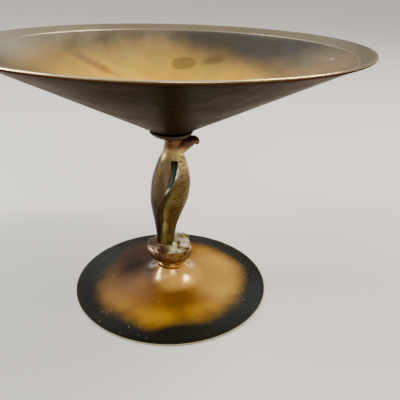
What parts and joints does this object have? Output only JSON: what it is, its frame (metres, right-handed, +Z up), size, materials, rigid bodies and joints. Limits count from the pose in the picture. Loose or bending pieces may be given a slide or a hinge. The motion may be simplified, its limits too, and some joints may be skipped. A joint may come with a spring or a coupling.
{
  "type": "pedestal bowl",
  "caption": "Wide shallow conical bowl with a rolled rim, on a cast stem shaped as a standing bird on a rock, with a low round trumpet foot.",
  "frame": {"origin": "centre of the foot's underside, on the surface the bowl stands on, under the common axis of foot, stem and bowl", "axes": "+Z up along the axis of the bowl; +X the way the bird's beak points; +Y away from the viewer of the picture"},
  "size_m": [0.2, 0.2, 0.1463],
  "materials": {
    "bowl_bronze": "spun bronze, golden in the well and dark brown patina outside, satin",
    "stem_bronze": "cast bronze, hand finished, brown patina rubbed gold on the high points",
    "dark_bronze": "turned bronze with nearly black patina",
    "foot_bronze": "spun bronze, orange gold round the neck, slate patina at the brim, semi-gloss",
    "fixings": "turned brass, plain"
  },
  "bodies": {
    "root": {"bowl": "bowl_bronze", "bowl_washer": "fixings", "bowl_screw": "fixings", "stem_collar": "dark_bronze", "bird_stem": "stem_bronze", "foot_ring": "foot_bronze", "foot": "foot_bronze", "foot_washer": "fixings", "foot_spring_washer": "fixings", "foot_screw": "fixings"}
  },
  "joints": []
}
